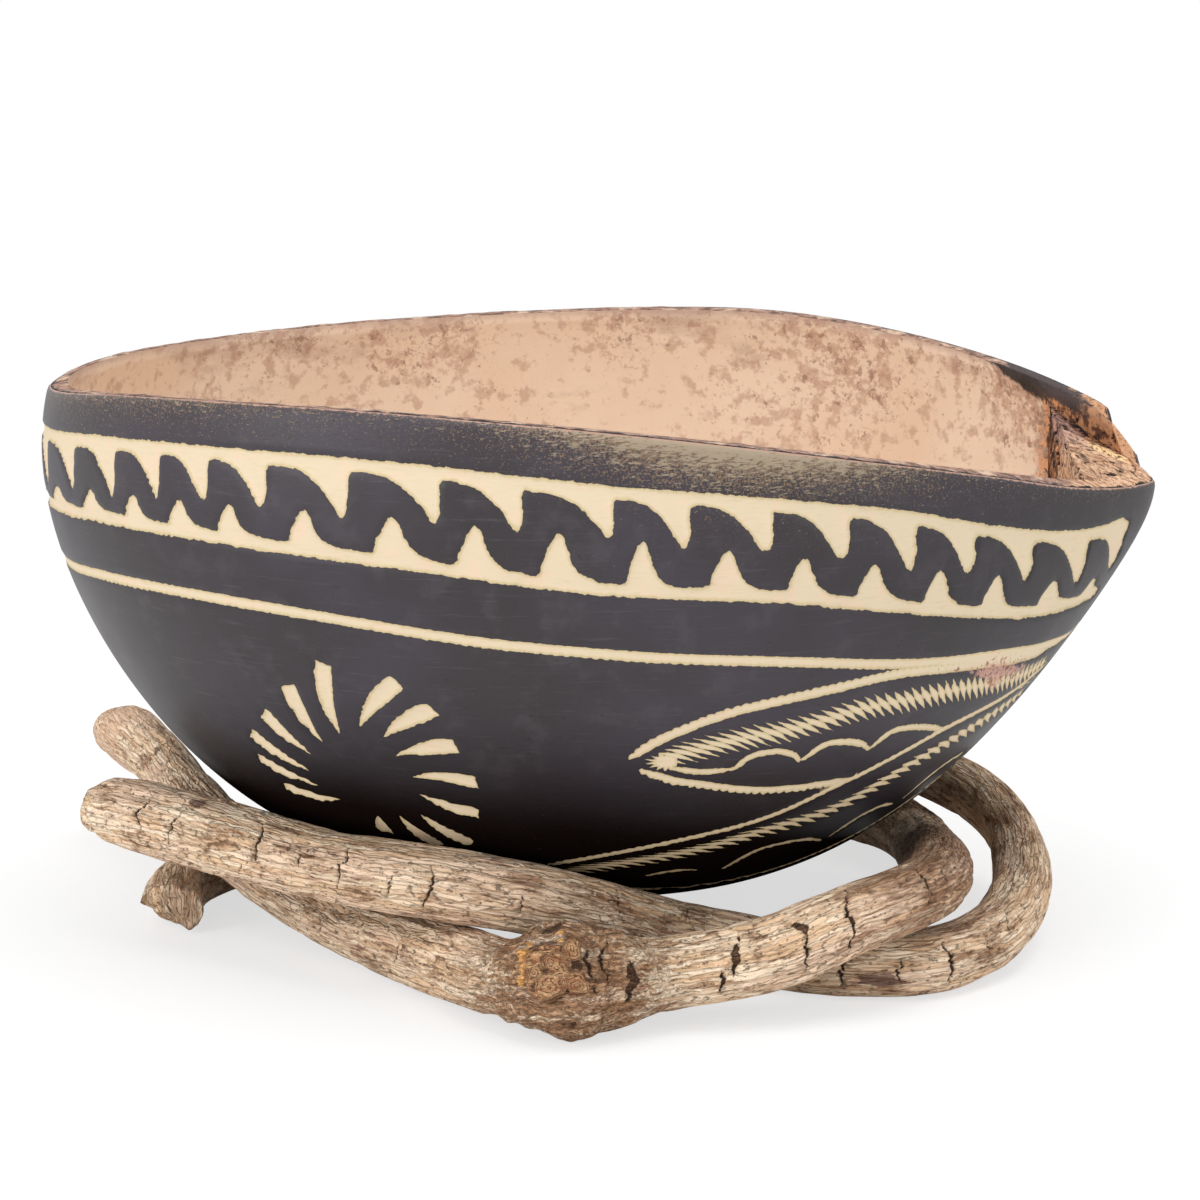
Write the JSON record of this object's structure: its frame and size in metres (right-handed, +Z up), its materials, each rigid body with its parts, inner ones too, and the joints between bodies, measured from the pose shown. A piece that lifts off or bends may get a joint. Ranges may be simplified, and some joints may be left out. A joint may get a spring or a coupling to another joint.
{
  "type": "footed bowl",
  "caption": "Oval bowl made from half a calabash, standing loose in a wreath of wound vine stems, with a loose seat and an uneven cut rim.",
  "frame": {"origin": "on the table, under the middle of the whole object's box", "axes": "+X from the gourd's blossom end to its stem end, the longest extent, +Y from the near side to the far side, +Z up"},
  "size_m": [0.203, 0.1584, 0.1069],
  "materials": {
    "gourd_shell": "calabash skin stained black, with a pale pattern cut through the stain, and a bare beige inside",
    "vine_stem": "dry bare vine with fibrous bark, dark cracks and a knotted burl"
  },
  "bodies": {
    "vine_foot": {"vine_inner": "vine_stem", "vine_outer": "vine_stem"},
    "bowl": {"gourd_bowl": "gourd_shell"}
  },
  "joints": [
    {"name": "bowl_lift", "type": "slide", "parent": "vine_foot", "child": "bowl", "axis": [0, 0, 1], "range_m": [0, 0.08]}
  ]
}
